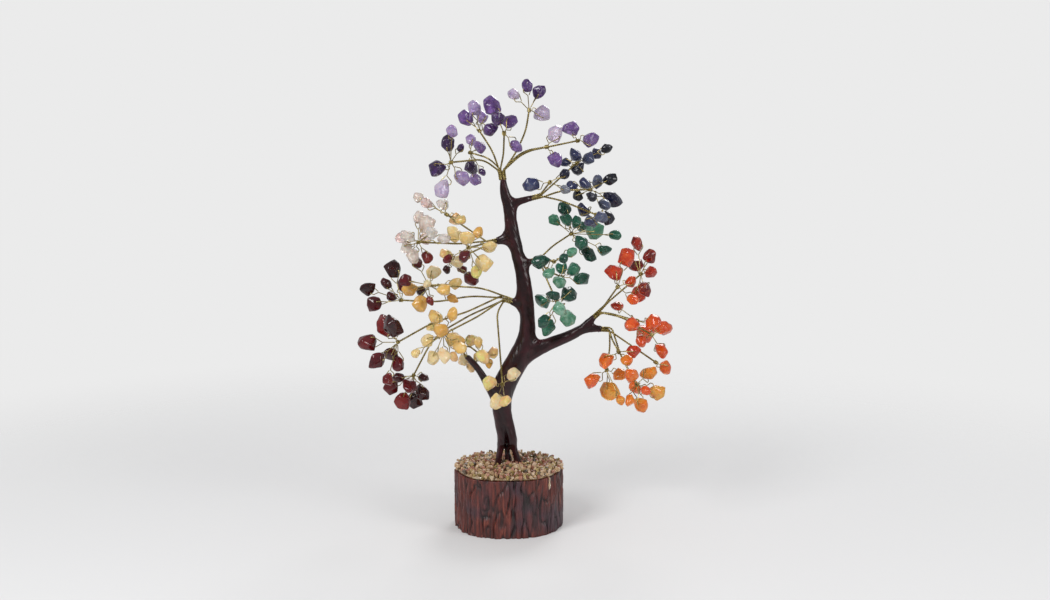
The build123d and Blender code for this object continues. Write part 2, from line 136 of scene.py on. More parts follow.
def new_piece(name, mesh, body):
    """A mesh as a piece at the origin that rides on a body."""
    piece = bpy.data.objects.new(name, mesh)
    bpy.context.scene.collection.objects.link(piece)
    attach(piece, body)
    return piece


def store(mesh, name, values):
    """A number for each point of a mesh, for its material or its growth to read."""
    numbers = mesh.attributes.new(name, "FLOAT", "POINT")
    numbers.data.foreach_set("value", np.asarray(values, np.float32))


def slice_outline(turn):
    """The radius of the log at a turn round it, before its furrows."""
    return slice_radius * (1 + slice_wander * (math.sin(2 * turn + 1) + math.sin(5 * turn) - 2) / 2)


noise.seed_set(bark_seed)
bark_points = []
bark_furrow = []
for row in range(bark_rows):
    share = row / (bark_rows - 1)
    for column in range(bark_columns):
        turn = 2 * math.pi * column / bark_columns
        outline = slice_outline(turn)
        across = Vector((math.cos(turn), math.sin(turn), 0)) * outline / plate_width
        along = Vector((0, 0, share * slice_height / plate_length))
        strayed = across + along + plate_stray * noise.noise_vector(0.5 * across + 3 * along)
        crack = 1 - min(1, crack_edge * abs(noise.noise(strayed)))
        split_place = splits_per_plate * (across + 0.8 * along) + split_start
        split = 1 - min(1, split_edge * abs(noise.noise(split_place)))
        lump = noise.noise(0.8 * across + 2 * along)
        depth = min(1, max(0, crack_share * crack ** 1.3 + split_share * split ** 2 + lump_share * lump))
        rim = chip_of_rim * (1 + noise.noise(2 * across)) * (row == bark_rows - 1)
        radius = outline - furrow_depth * depth - rim
        height = share * slice_height - rim * (0.5 + 0.5 * noise.noise(3 * across))
        bark_points.append((radius * math.cos(turn), radius * math.sin(turn), height))
        bark_furrow.append(depth)
bark_faces = []
for row in range(bark_rows - 1):
    for column in range(bark_columns):
        beside = (column + 1) % bark_columns
        bark_faces.append((
            row * bark_columns + column, row * bark_columns + beside,
            (row + 1) * bark_columns + beside, (row + 1) * bark_columns + column,
        ))
top_ring = (bark_rows - 1) * bark_columns
for middle, ring in (((0, 0, 0), 0), ((0, 0, slice_height - chip_of_rim), top_ring)):
    centre = len(bark_points)
    bark_points.append(middle)
    bark_furrow.append(0)
    for column in range(bark_columns):
        edge = (ring + column, ring + (column + 1) % bark_columns)
        bark_faces.append((centre, *edge) if ring else (centre, *edge[::-1]))

# Bark of a small hardwood log under a thin varnish: reddish brown plates with a dull gloss, plum in broad
# patches, with pale scuffed streaks that run with the grain, and painted shade that turns the furrows nearly
# black.
bark_finish, tree, shader = new_finish("varnished_bark", {
    "Roughness": 0.5, "Coat Weight": 0.12, "Coat Roughness": 0.3})
coords = add(tree, "ShaderNodeTexCoord")
furrow = add(tree, "ShaderNodeAttribute", attribute_name="furrow")
streak_place = add(tree, "ShaderNodeMapping", {"Vector": coords.outputs["Object"], "Scale": (1, 1, 0.07)})
streak = add(tree, "ShaderNodeTexNoise", {
    "Vector": streak_place.outputs[0], "Scale": 1 / streak_width, "Detail": 4, "Roughness": 0.6})
patch = add(tree, "ShaderNodeTexNoise", {
    "Vector": coords.outputs["Object"], "Scale": 1 / patch_width, "Detail": 2})
plates = add(tree, "ShaderNodeValToRGB", {"Fac": streak.outputs["Fac"]}, stops=[
    (0.28, "#210b0e"), (0.45, "#4c1a13"), (0.58, "#64251b"), (0.74, "#8a4b36")])
plum = add(tree, "ShaderNodeValToRGB", {"Fac": streak.outputs["Fac"]}, stops=[
    (0.3, "#20121a"), (0.7, "#54323c")])
patch_share = add(tree, "ShaderNodeMapRange", {
    "Value": patch.outputs["Fac"], "From Min": 0.48, "From Max": 0.66})
both = add(tree, "ShaderNodeMix", {
    0: patch_share.outputs[0], 6: plates.outputs[0], 7: plum.outputs[0]}, data_type="RGBA")
# Painted shade: the deeper the furrow, the nearer the bark's colour goes to near-black.
furrow_painted_shade = add(tree, "ShaderNodeMapRange", {
    "Value": furrow.outputs["Fac"], "From Min": 0.3, "From Max": 0.85})
dark = add(tree, "ShaderNodeMix", {
    0: furrow_painted_shade.outputs[0], 6: both.outputs[2], 7: linear("#1a0a0c")}, data_type="RGBA")
tree.links.new(dark.outputs[2], shader.inputs["Base Color"])
bump = add(tree, "ShaderNodeBump", {
    "Height": streak.outputs["Fac"], "Strength": 0.5, "Distance": streak_relief})
tree.links.new(bump.outputs[0], shader.inputs["Normal"])

bark_mesh = smooth_mesh("log_slice", bark_points, bark_faces, bark_finish)
store(bark_mesh, "furrow", bark_furrow)
log_slice = new_piece("log_slice", bark_mesh, "tree")
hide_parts("wood_base")

# The resin: clear glue poured on the sawn top of the slice, which holds the gravel and the roots.
# It has set with a rounded, uneven edge, and one drop has run over the rim and down the bark.
bed_top = 37.4 * MM
bed_rise = 1.5 * MM
bed_margin = 1.7 * MM
edge_waver = 0.9 * MM
wave_height = 0.25 * MM
wave_width = 6 * MM
bed_rings = 14
bed_columns = 160
drip_turn = math.radians(-42)
drip_drop = 0.2 * MM
drip_reach = 9 * MM
drip_width = 1.25 * MM
drip_sink = 0.25 * MM
drip_rows = 18
drip_columns = 14
cloud_width = 5 * MM
ripple_width = 1.5 * MM
ripple_relief = 0.2 * MM

bed_points = []
for ring in range(bed_rings + 1):
    share = ring / bed_rings
    for column in range(bed_columns):
        turn = 2 * math.pi * column / bed_columns
        around = Vector((math.cos(turn), math.sin(turn), 0))
        edge = slice_outline(turn) - bed_margin + edge_waver * noise.noise(3.5 * around)
        radius = edge * math.sin(share * math.pi / 2) ** 0.7
        wave = wave_height * noise.noise(around * radius / wave_width)
        rounding = math.sqrt(max(0, 1 - share ** 14))
        height = bed_top - bed_rise * (1 - rounding) + wave * rounding
        bed_points.append((radius * around.x, radius * around.y, height))
bed_faces = []
for ring in range(bed_rings):
    for column in range(bed_columns):
        beside = (column + 1) % bed_columns
        bed_faces.append((
            ring * bed_columns + column, (ring + 1) * bed_columns + column,
            (ring + 1) * bed_columns + beside, ring * bed_columns + beside,
        ))
underside = len(bed_points)
bed_points.append((0, 0, bed_top - bed_rise))
outer = bed_rings * bed_columns
for column in range(bed_columns):
    bed_faces.append((underside, outer + (column + 1) % bed_columns, outer + column))
drip_start = len(bed_points)
outward = Vector((math.cos(drip_turn), math.sin(drip_turn), 0))
sideways = Vector((-outward.y, outward.x, 0))
for row in range(drip_rows + 1):
    share = row / drip_rows
    bulge = 0.55 + 0.45 * math.sin(2.2 * share * math.pi) ** 2 * share
    round_end = math.sqrt(max(0, 1 - max(0, (share - 0.8) / 0.2) ** 2))
    width = drip_width * bulge * round_end * min(1, 4 * share + 0.3)
    hug = slice_outline(drip_turn) - bed_margin * 1.3 * (1 - min(1, 4 * share)) ** 2 - drip_sink
    centre = outward * hug + Vector((0, 0, bed_top - drip_drop - drip_reach * share))
    for column in range(drip_columns):
        turn = 2 * math.pi * column / drip_columns
        bed_points.append(centre + (sideways * math.cos(turn) + outward * math.sin(turn) * 0.8) * width)
for row in range(drip_rows):
    for column in range(drip_columns):
        beside = (column + 1) % drip_columns
        bed_faces.append(tuple(drip_start + k for k in (
            row * drip_columns + column, (row + 1) * drip_columns + column,
            (row + 1) * drip_columns + beside, row * drip_columns + beside)))
bed_faces.append(tuple(drip_start + column for column in range(drip_columns)))

# Clear casting resin with a little of the gravel's colour in it: wet gloss and a warm, cloudy depth.
resin_finish, tree, shader = new_finish("casting_resin", {
    "Roughness": 0.1, "IOR": 1.5, "Transmission Weight": 0.35, "Coat Weight": 0.5, "Coat Roughness": 0.05})
coords = add(tree, "ShaderNodeTexCoord")
cloud = add(tree, "ShaderNodeTexNoise", {
    "Vector": coords.outputs["Object"], "Scale": 1 / cloud_width, "Detail": 3})
warm = add(tree, "ShaderNodeValToRGB", {"Fac": cloud.outputs["Fac"]}, stops=[
    (0.3, "#8a6a48"), (0.5, "#c2a078"), (0.7, "#e6d2ae")])
tree.links.new(warm.outputs[0], shader.inputs["Base Color"])
ripple = add(tree, "ShaderNodeTexNoise", {"Vector": coords.outputs["Object"], "Scale": 1 / ripple_width})
bump = add(tree, "ShaderNodeBump", {
    "Height": ripple.outputs["Fac"], "Strength": 0.25, "Distance": ripple_relief})
tree.links.new(bump.outputs[0], shader.inputs["Normal"])

resin_mesh = smooth_mesh("resin_layer", bed_points, bed_faces, resin_finish)
resin = new_piece("resin_layer", resin_mesh, "tree")
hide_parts("resin_bed")

# The gravel: crushed stone in four colours, strewn over the wet resin and pressed in up to the rim.
# Each grain is a broken piece with flat faces, two to four millimetres across, and no two are alike.
heap_radius = 33.2 * MM
heap_level = 38.2 * MM
heap_rise = 1.1 * MM
grain_spacing = 1.95 * MM
grain_density = 900000
grain_size = 1.7 * MM
least_stretch = (0.55, 0.5, 0.4)
most_stretch = (1.35, 1.1, 0.85)
any_turn = 6.28
sunk_most = -0.7 * MM
raised_most = 0.9 * MM
break_width = 2.1 * MM
break_depth = 1.7 * MM
speck_width = 0.7 * MM
speck_relief = 0.2 * MM
gravel_seed = 11
kind_count = 10
gravel_kinds = {
    "gravel_cream": (0, 4, [(0.0, "#b8946a"), (0.4, "#cbab82"), (0.75, "#dfc8a6"), (1.0, "#d8bca6")]),
    "gravel_olive": (4, 6, [(0.0, "#8a7440"), (0.4, "#a89256"), (0.8, "#bda76c"), (1.0, "#c8b484")]),
    "gravel_terracotta": (6, 9, [(0.0, "#905a44"), (0.4, "#b07660"), (0.8, "#c48d78"), (1.0, "#cf9f8a")]),
    "gravel_dark": (9, 10, [(0.0, "#443c30"), (0.4, "#5c5040"), (0.8, "#74634e"), (1.0, "#847664")]),
}


def new_growth(name, numbers, geometry=True):
    """A Geometry Nodes tree with named number inputs, its group input and its output."""
    tree = bpy.data.node_groups.new(name, "GeometryNodeTree")
    if geometry:
        tree.interface.new_socket("Geometry", in_out="INPUT", socket_type="NodeSocketGeometry")
    for label, value in numbers.items():
        kind = "NodeSocketInt" if isinstance(value, int) else "NodeSocketFloat"
        tree.interface.new_socket(label, in_out="INPUT", socket_type=kind).default_value = value
    tree.interface.new_socket("Finish", in_out="INPUT", socket_type="NodeSocketMaterial")
    tree.interface.new_socket("Geometry", in_out="OUTPUT", socket_type="NodeSocketGeometry")
    return tree, tree.nodes.new("NodeGroupInput"), tree.nodes.new("NodeGroupOutput")


def grown_mesh(name, tree, source, inputs):
    """The plain mesh that a Geometry Nodes tree makes of a source mesh."""
    holder = bpy.data.objects.new(name, source)
    bpy.context.scene.collection.objects.link(holder)
    modifier = holder.modifiers.new("grow", "NODES")
    modifier.node_group = tree
    for item in tree.interface.items_tree:
        if item.in_out == "INPUT" and item.name in inputs:
            modifier[item.identifier] = inputs[item.name]
    holder.update_tag()
    shown = holder.evaluated_get(bpy.context.evaluated_depsgraph_get())
    mesh = bpy.data.meshes.new_from_object(shown)
    bpy.data.objects.remove(holder)
    mesh.name = name
    return mesh


tree, given, result = new_growth("strewn_gravel", {
    "Radius": heap_radius, "Level": heap_level, "Rise": heap_rise, "Spacing": grain_spacing,
    "Grain": grain_size, "First kind": 0, "Next kind": kind_count, "Seed": gravel_seed}, geometry=False)
disc = add(tree, "GeometryNodeMeshCircle", {
    "Radius": given.outputs["Radius"], "Vertices": 96}, fill_type="NGON")
strewn = add(tree, "GeometryNodeDistributePointsOnFaces", {
    "Mesh": disc.outputs[0], "Distance Min": given.outputs["Spacing"], "Density Max": grain_density,
    "Seed": given.outputs["Seed"]}, distribute_method="POISSON")
kind = add(tree, "FunctionNodeRandomValue", {
    4: 0, 5: kind_count - 1, "Seed": given.outputs["Seed"]}, data_type="INT")
above = add(tree, "FunctionNodeCompare", {
    2: kind.outputs[2], 3: given.outputs["First kind"]}, data_type="INT", operation="GREATER_EQUAL")
below = add(tree, "FunctionNodeCompare", {
    2: kind.outputs[2], 3: given.outputs["Next kind"]}, data_type="INT", operation="LESS_THAN")
mine = add(tree, "FunctionNodeBooleanMath", {0: above.outputs[0], 1: below.outputs[0]}, operation="AND")
kept = add(tree, "GeometryNodeSeparateGeometry", {
    "Geometry": strewn.outputs["Points"], "Selection": mine.outputs[0]}, domain="POINT")
where = add(tree, "GeometryNodeInputPosition")
inward = add(tree, "ShaderNodeVectorMath", {0: where.outputs[0]}, operation="LENGTH")
dome = add(tree, "ShaderNodeMapRange", {
    "Value": inward.outputs["Value"], "From Min": 0.0, "From Max": given.outputs["Radius"],
    "To Min": given.outputs["Rise"], "To Max": 0.0})
jitter = add(tree, "FunctionNodeRandomValue", {2: sunk_most, 3: raised_most, "Seed": 3}, data_type="FLOAT")
lift = add(tree, "ShaderNodeMath", {0: dome.outputs[0], 1: jitter.outputs[1]}, operation="ADD")
level = add(tree, "ShaderNodeMath", {0: lift.outputs[0], 1: given.outputs["Level"]}, operation="ADD")
raised = add(tree, "ShaderNodeCombineXYZ", {"Z": level.outputs[0]})
heap = add(tree, "GeometryNodeSetPosition", {
    "Geometry": kept.outputs["Selection"], "Offset": raised.outputs[0]})
shape = add(tree, "GeometryNodeMeshIcoSphere", {"Radius": given.outputs["Grain"], "Subdivisions": 1})
turned = add(tree, "FunctionNodeRandomValue", {
    0: (0, 0, 0), 1: (any_turn, any_turn, any_turn), "Seed": 5}, data_type="FLOAT_VECTOR")
sized = add(tree, "FunctionNodeRandomValue", {
    0: least_stretch, 1: most_stretch, "Seed": 6}, data_type="FLOAT_VECTOR")
grains = add(tree, "GeometryNodeInstanceOnPoints", {
    "Points": heap.outputs[0], "Instance": shape.outputs[0], "Rotation": turned.outputs[0],
    "Scale": sized.outputs[0]})
tinted = add(tree, "FunctionNodeRandomValue", {2: 0.0, 3: 1.0, "Seed": 9}, data_type="FLOAT")
marked = add(tree, "GeometryNodeStoreNamedAttribute", {
    "Geometry": grains.outputs[0], "Name": "tint", "Value": tinted.outputs[1],
}, data_type="FLOAT", domain="INSTANCE")
real = add(tree, "GeometryNodeRealizeInstances", {"Geometry": marked.outputs[0]})
rough = add(tree, "ShaderNodeTexNoise", {"Vector": where.outputs[0], "Scale": 1 / break_width, "Detail": 0})
centred = add(tree, "ShaderNodeVectorMath", {
    0: rough.outputs["Color"], 1: (0.5, 0.5, 0.5)}, operation="SUBTRACT")
broken = add(tree, "ShaderNodeVectorMath", {0: centred.outputs[0], "Scale": break_depth}, operation="SCALE")
crushed = add(tree, "GeometryNodeSetPosition", {"Geometry": real.outputs[0], "Offset": broken.outputs[0]})
dressed = add(tree, "GeometryNodeSetMaterial", {
    "Geometry": crushed.outputs[0], "Material": given.outputs["Finish"]})
tree.links.new(dressed.outputs[0], result.inputs[0])
gravel_tree = tree

for node, (first, following, stops) in gravel_kinds.items():
    # Crushed stone, dyed or natural, wetted by the resin: chalky faces with fine specks and a damp gleam.
    finish, tree, shader = new_finish(node.replace("gravel", "crushed_stone"), {
        "Roughness": 0.42, "Coat Weight": 0.25, "Coat Roughness": 0.15})
    coords = add(tree, "ShaderNodeTexCoord")
    tint = add(tree, "ShaderNodeAttribute", attribute_name="tint")
    body_colour = add(tree, "ShaderNodeValToRGB", {"Fac": tint.outputs["Fac"]}, stops=stops)
    speck = add(tree, "ShaderNodeTexNoise", {
        "Vector": coords.outputs["Object"], "Scale": 1 / speck_width, "Detail": 3})
    shade = add(tree, "ShaderNodeValToRGB", {"Fac": speck.outputs["Fac"]}, stops=[
        (0.3, "#a89c90"), (0.5, "#e2deda"), (0.7, "#ffffff")])
    mixed = add(tree, "ShaderNodeMix", {
        0: 1.0, 6: body_colour.outputs[0], 7: shade.outputs[0]}, data_type="RGBA", blend_type="MULTIPLY")
    tree.links.new(mixed.outputs[2], shader.inputs["Base Color"])
    bump = add(tree, "ShaderNodeBump", {
        "Height": speck.outputs["Fac"], "Strength": 0.4, "Distance": speck_relief})
    tree.links.new(bump.outputs[0], shader.inputs["Normal"])
    mesh = grown_mesh(node + "_grains", gravel_tree, bpy.data.meshes.new("bare_top"), {
        "First kind": first, "Next kind": following, "Finish": finish})
    piece = new_piece(node + "_grains", mesh, "tree")
    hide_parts(node)

# The armature: the iron wires that the trunk and the limbs are wound on, shut in under the coat.
# The solids have their true shape, so they stay, and take a finish of their own.
scale_width = 1.2 * MM

# Annealed iron wire: dull grey, with a dark skin of scale that has flaked here and there.
armature_finish, tree, shader = new_finish("annealed_iron_wire", {"Metallic": 0.9, "Roughness": 0.5})
coords = add(tree, "ShaderNodeTexCoord")
scale_skin = add(tree, "ShaderNodeTexNoise", {"Vector": coords.outputs["Object"], "Scale": 1 / scale_width})
iron = add(tree, "ShaderNodeValToRGB", {"Fac": scale_skin.outputs["Fac"]}, stops=[
    (0.35, "#35312f"), (0.65, "#6b6662")])
tree.links.new(iron.outputs[0], shader.inputs["Base Color"])
frame["nodes"]["armature"].data.materials.clear()
frame["nodes"]["armature"].data.materials.append(armature_finish)

# The trunk, the limbs and the roots: wire wound on the armature in strands and dipped in brown lacquer.
# The coat runs from one to the next without a seam, so it is one skin over all of them, thick in each fork,
# with the strands still to be felt as soft ridges, and three strands let go at the foot as the roots.
wound_nodes = [
    "trunk", "left_limb", "right_limb", "upper_fork", "lower_fork", "top_right_limb",
    "left_stub", "middle_stub", "right_stub", "left_root", "middle_root", "right_root",
]
skin_voxel = 0.5 * MM
weld = 0.001 * MM
pass_reach = 0.5
fill_rate = 0.7
wear_rate = 0.12
first_rounding = 30
fork_filling = 220
off_plane_pull = 0.05
filled_above = 56 * MM
filled_fully = 66 * MM
root_top = 48 * MM
root_blend = 7 * MM
root_rounding = 80
root_wear_rate = 0.1
wire_radius = 1.1 * MM
vote_cell = 0.2 * MM
least_votes = 24
most_lean = 0.35
strand_count = 3
strand_pitch = 150 * MM
strand_level = 0.75
foot_top = 115 * MM
foot_run = 60 * MM
foot_ridge = 0.9 * MM
limb_ridge = 0.28 * MM
root_fade_start = 44 * MM
root_fade = 6 * MM
slit_depth = 3.6 * MM
slit_top = 72 * MM
slit_foot = 53 * MM
slit_opening = 0.6
fine_count = 7
fine_pitch = 70 * MM
fine_ridge = 0.1 * MM
fine_level = 0.6
lump_height = 0.22 * MM
lump_width = 5 * MM
coat_cloud = 6 * MM
peel_width = 1.4 * MM
peel_relief = 0.15 * MM


def loose_solids(mesh):
    """The separate solids of a mesh: for each, its corners' places and normals."""
    places = np.empty(len(mesh.vertices) * 3, np.float32)
    mesh.vertices.foreach_get("co", places)
    places = places.reshape(-1, 3)
    corners = np.empty(len(mesh.loops), np.int32)
    mesh.loops.foreach_get("vertex_index", corners)
    facing = np.empty(len(mesh.loops) * 3, np.float32)
    mesh.corner_normals.foreach_get("vector", facing)
    facing = facing.reshape(-1, 3)
    _, merged = np.unique(np.round(places / weld).astype(np.int64), axis=0, return_inverse=True)
    merged = merged.reshape(-1)
    faces = merged[corners].reshape(-1, 3)
    label = np.arange(merged.max() + 1)
    while True:
        lowest = np.repeat(label[faces].min(axis=1), 3)
        joined = label.copy()
        np.minimum.at(joined, faces.ravel(), lowest)
        joined = joined[joined]
        if (joined == label).all():
            break
        label = joined
    of_corner = label[merged[corners]]
    return [(places[corners][of_corner == k], facing[of_corner == k]) for k in np.unique(of_corner)]


def wire_line(places, facing, radius, start):
    """The middle line of a round wire, from the end nearest to a point: where many normals meet."""
    middles = places - facing * radius
    cells, cell_of, votes = np.unique(
        np.round(middles / vote_cell).astype(np.int64), axis=0, return_inverse=True, return_counts=True)
    cell_of = cell_of.reshape(-1)
    sums = np.zeros((len(cells), 3))
    np.add.at(sums, cell_of, middles)
    lean = np.zeros((len(cells), 3))
    np.add.at(lean, cell_of, facing)
    true = (votes >= least_votes) & (np.linalg.norm(lean, axis=1) < most_lean * votes)
    left = list(sums[true] / votes[true][:, None])
    line = []
    here = np.array(start)
    while left:
        nearest = min(range(len(left)), key=lambda k: np.linalg.norm(left[k] - here))
        here = left.pop(nearest)
        line.append(here)
    return np.array(line)


def recut(name, mesh, cell, passes=0):
    """A mesh cut anew into small even faces, and worn smooth by a number of passes."""
    holder = bpy.data.objects.new(name, mesh)
    bpy.context.scene.collection.objects.link(holder)
    cut = holder.modifiers.new("cut", "REMESH")
    cut.mode = "VOXEL"
    cut.voxel_size = cell
    if passes:
        wear = holder.modifiers.new("wear", "SMOOTH")
        wear.factor = pass_reach
        wear.iterations = passes
    made = bpy.data.meshes.new_from_object(holder.evaluated_get(bpy.context.evaluated_depsgraph_get()))
    bpy.data.objects.remove(holder)
    return made


skin_start = bmesh.new()
for node in wound_nodes + ["armature"]:
    skin_start.from_mesh(frame["nodes"][node].data)
bmesh.ops.remove_doubles(skin_start, verts=skin_start.verts, dist=weld)
skin_mesh = bpy.data.meshes.new("wound_strands")
skin_start.to_mesh(skin_mesh)
skin_start.free()

skin_shape = bmesh.new()
skin_shape.from_mesh(recut("wound_strands", skin_mesh, skin_voxel))
unseen = set(skin_shape.verts)
shells = []
while unseen:
    grow = [unseen.pop()]
    shell = []
    while grow:
        vert = grow.pop()
        shell.append(vert)
        for edge in vert.link_edges:
            other = edge.other_vert(vert)
            if other in unseen:
                unseen.remove(other)
                grow.append(other)
    shells.append(shell)
shells.sort(key=len)
bmesh.ops.delete(skin_shape, geom=[vert for shell in shells[:-1] for vert in shell], context="VERTS")
skin_shape.verts.index_update()
skin_points = np.array([vert.co for vert in skin_shape.verts])
skin_edges = np.array([[vert.index for vert in edge.verts] for edge in skin_shape.edges])
skin_faces = [[vert.index for vert in face.verts] for face in skin_shape.faces]
skin_shape.free()
skin_corners = np.array([face[:3] for face in skin_faces])
edge_starts = np.concatenate([skin_edges[:, 0], skin_edges[:, 1]])
edge_ends = np.concatenate([skin_edges[:, 1], skin_edges[:, 0]])


def gathered(owners, values):
    """The sum, at each point of the skin, of the values that it owns."""
    return np.stack([np.bincount(owners, values[:, k]) for k in range(3)], axis=1)


def ways_out(points):
    """The way out at each point of the skin."""
    a, b, c = (points[skin_corners[:, k]] for k in range(3))
    total = gathered(skin_corners.ravel(), np.repeat(np.cross(b - a, c - a), 3, axis=0))
    return total / np.linalg.norm(total, axis=1, keepdims=True)


def flowed(points, steps, weights, fill, shrink):
    """The skin after steps towards the mean of its neighbours, in which hollows fill and ridges shrink."""
    total = np.bincount(edge_starts, weights)[:, None]
    for _ in range(steps):
        pull = gathered(edge_starts, weights[:, None] * points[edge_ends]) / total - points
        outward = ways_out(points)
        rise = (pull * outward).sum(axis=1, keepdims=True)
        along_skin = pull - outward * rise
        points = points + pass_reach * along_skin + outward * np.where(rise > 0, fill, shrink) * rise
    return points


every_way = np.ones(len(edge_starts))
skin_points = flowed(skin_points, first_rounding, every_way, fill_rate, wear_rate)
edge_runs = skin_points[edge_ends] - skin_points[edge_starts]
in_plane = off_plane_pull + (1 - (edge_runs[:, 1] / np.linalg.norm(edge_runs, axis=1)) ** 2) ** 2
filled_share = np.clip((skin_points[:, 2:] - filled_above) / (filled_fully - filled_above), 0, 1)
skin_points = flowed(skin_points, fork_filling, in_plane, fill_rate * filled_share, 0)
blend_share = np.clip(1 - np.abs(skin_points[:, 2:] - root_top) / root_blend, 0, 1)
skin_points = flowed(
    skin_points, root_rounding, every_way, fill_rate * blend_share, root_wear_rate * blend_share)

limb_lines = [
    wire_line(places, facing, wire_radius, (0, 0, 0))
    for places, facing in loose_solids(frame["nodes"]["armature"].data)
]
nearest = np.full(len(skin_points), np.inf)
turn_round = np.zeros(len(skin_points))
run_along = np.zeros(len(skin_points))
for line in limb_lines:
    begun = 0.0
    for a, b in zip(line, line[1:]):
        length = np.linalg.norm(b - a)
        heading = (b - a) / length
        share = np.clip((skin_points - a) @ heading / length, 0, 1)
        from_line = skin_points - (a + share[:, None] * (b - a))
        apart = np.linalg.norm(from_line, axis=1)
        side = np.cross(heading, (0, 1, 0))
        closer = apart < nearest
        nearest[closer] = apart[closer]
        turn_round[closer] = np.arctan2(from_line @ side, from_line[:, 1])[closer]
        run_along[closer] = (begun + share * length)[closer]
        begun += length
foot_level = skin_points[:, 2]
foot_share = np.clip((foot_top - foot_level) / foot_run, 0, 1) ** 1.5
ridge = limb_ridge + (foot_ridge - limb_ridge) * foot_share
wound_turn = turn_round + 2 * math.pi * run_along / strand_pitch * (1 - foot_share)
strands = np.abs(np.cos(strand_count / 2 * wound_turn))
fine_strands = np.abs(np.cos(fine_count * (turn_round + 2 * math.pi * run_along / fine_pitch)))
lumps = np.array([noise.noise(Vector(point) / lump_width) for point in skin_points])
slit_share = np.clip((slit_top - foot_level) / (slit_top - slit_foot), 0, 1) ** 2
root_share = np.clip((foot_level - root_fade_start) / root_fade, 0, 1)
slits = slit_depth * slit_share * root_share * np.clip(1 - strands / slit_opening, 0, 1)
swell = ridge * (strands - strand_level) * root_share - slits
swell = swell + fine_ridge * (fine_strands - fine_level) + lump_height * lumps
skin_points = skin_points + ways_out(skin_points) * swell[:, None]

# Brown spirit lacquer, dipped and dried: nearly black, red-brown in soft clouds, long wet highlights along
# the strands from its gloss, and a redder, lighter colour on the ridges that is partly thinner lacquer and
# partly painted highlight.
lacquer_finish, tree, shader = new_finish("brown_lacquer", {
    "Roughness": 0.28, "Specular IOR Level": 0.3, "Coat Weight": 0.2, "Coat Roughness": 0.1, "IOR": 1.5})
coords = add(tree, "ShaderNodeTexCoord")
raised_strand = add(tree, "ShaderNodeAttribute", attribute_name="strand")
depth_of_coat = add(tree, "ShaderNodeTexNoise", {
    "Vector": coords.outputs["Object"], "Scale": 1 / coat_cloud, "Detail": 4, "Roughness": 0.6})
deep = add(tree, "ShaderNodeValToRGB", {"Fac": depth_of_coat.outputs["Fac"]}, stops=[
    (0.3, "#150507"), (0.55, "#22090c"), (0.75, "#340f13")])
thin_coat_highlight = add(tree, "ShaderNodeValToRGB", {"Fac": depth_of_coat.outputs["Fac"]}, stops=[
    (0.3, "#280b0f"), (0.75, "#421720")])
# Painted highlight, partly thinner lacquer: the raised strand ridges take the lighter, redder colour.
ridge_highlight_share = add(tree, "ShaderNodeMapRange", {
    "Value": raised_strand.outputs["Fac"], "From Min": 0.55, "From Max": 1.0, "To Max": 0.7})
coat = add(tree, "ShaderNodeMix", {
    0: ridge_highlight_share.outputs[0], 6: deep.outputs[0], 7: thin_coat_highlight.outputs[0]}, data_type="RGBA")
tree.links.new(coat.outputs[2], shader.inputs["Base Color"])
orange_peel = add(tree, "ShaderNodeTexNoise", {
    "Vector": coords.outputs["Object"], "Scale": 1 / peel_width, "Detail": 2})
bump = add(tree, "ShaderNodeBump", {
    "Height": orange_peel.outputs["Fac"], "Strength": 0.2, "Distance": peel_relief})
tree.links.new(bump.outputs[0], shader.inputs["Normal"])

coat_mesh = smooth_mesh("lacquered_trunk", skin_points, skin_faces, lacquer_finish)
store(coat_mesh, "strand", strands)
trunk_coat = new_piece("lacquered_trunk", coat_mesh, "tree")
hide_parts(*wound_nodes)

# The stems: three thin brass-coated wires twisted into one, which leave each limb tip in a bundle and fan
# out. At the end of each stem the wires are wound round it in a few close turns, and the twigs come out.
stem_radius = 0.65 * MM
knot_radius = 1.6 * MM
past_knot = 1.05
stem_wires = 3
strand_radius = 0.3 * MM
strand_offset = 0.33 * MM
twist_pitch = 4.2 * MM
ring_spacing = 0.45 * MM
coil_turns = 3.6
coil_radius = 1.0 * MM
coil_length = 2.3 * MM
set_in_tip = 1.8 * MM
dull_width = 3 * MM

# Brass-coated craft wire, pale champagne gold: drawn smooth, bright along its top, olive in its shade,
# with slight dulling where fingers have twisted it.
wire_finish, tree, shader = new_finish("brass_craft_wire", {"Metallic": 1.0, "Roughness": 0.3})
coords = add(tree, "ShaderNodeTexCoord")
dulled = add(tree, "ShaderNodeTexNoise", {
    "Vector": coords.outputs["Object"], "Scale": 1 / dull_width, "Detail": 3})
gold = add(tree, "ShaderNodeValToRGB", {"Fac": dulled.outputs["Fac"]}, stops=[
    (0.32, "#76683c"), (0.5, "#a8965c"), (0.68, "#c8b985")])
tree.links.new(gold.outputs[0], shader.inputs["Base Color"])
matt = add(tree, "ShaderNodeMapRange", {"Value": dulled.outputs["Fac"], "To Min": 0.42, "To Max": 0.2})
tree.links.new(matt.outputs[0], shader.inputs["Roughness"])

